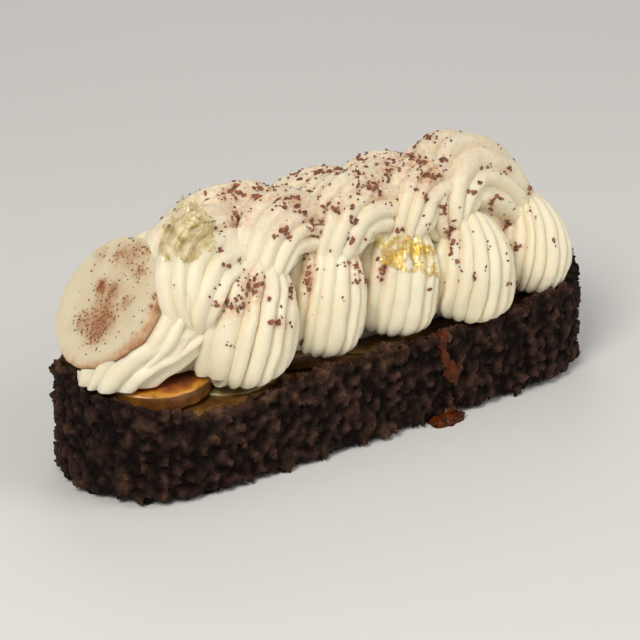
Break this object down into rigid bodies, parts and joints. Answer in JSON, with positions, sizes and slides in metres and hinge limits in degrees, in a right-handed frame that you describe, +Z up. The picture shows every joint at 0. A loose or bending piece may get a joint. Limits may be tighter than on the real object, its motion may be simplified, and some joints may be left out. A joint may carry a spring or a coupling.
{
  "type": "banoffee pie",
  "caption": "Long banoffee pie in a dark chocolate crumb case, filled with toffee and banana slices and topped with piped cream, chocolate flakes, gold leaf and a standing banana slice.",
  "frame": {"origin": "middle of the flat underside of the case", "axes": "+X along the bar's length, away from the standing banana slice; -Y is the front, where the toffee runs down; +Z up"},
  "size_m": [0.13, 0.0476, 0.0581],
  "materials": {
    "chocolate_crumb": "dark chocolate biscuit crumbs pressed together, rough with a faint buttery sheen; the run of toffee on its front is glossy amber",
    "toffee": "soft glossy toffee, amber to brown",
    "banana": "moist banana flesh, pale yellow, glazed with toffee where it lies in the filling and dusted with cocoa on the standing slice",
    "cream": "whipped cream, ivory, soft sheen, with milk chocolate flakes",
    "gold_leaf": "thin crumpled gold leaf"
  },
  "bodies": {
    "root": {"crumb_case": "chocolate_crumb", "toffee": "toffee", "banana_slice_1": "banana", "banana_slice_2": "banana", "banana_slice_3": "banana", "banana_slice_4": "banana", "banana_disc": "banana", "whipped_cream": "cream", "gold_leaf_1": "gold_leaf", "gold_leaf_2": "gold_leaf"}
  },
  "joints": []
}
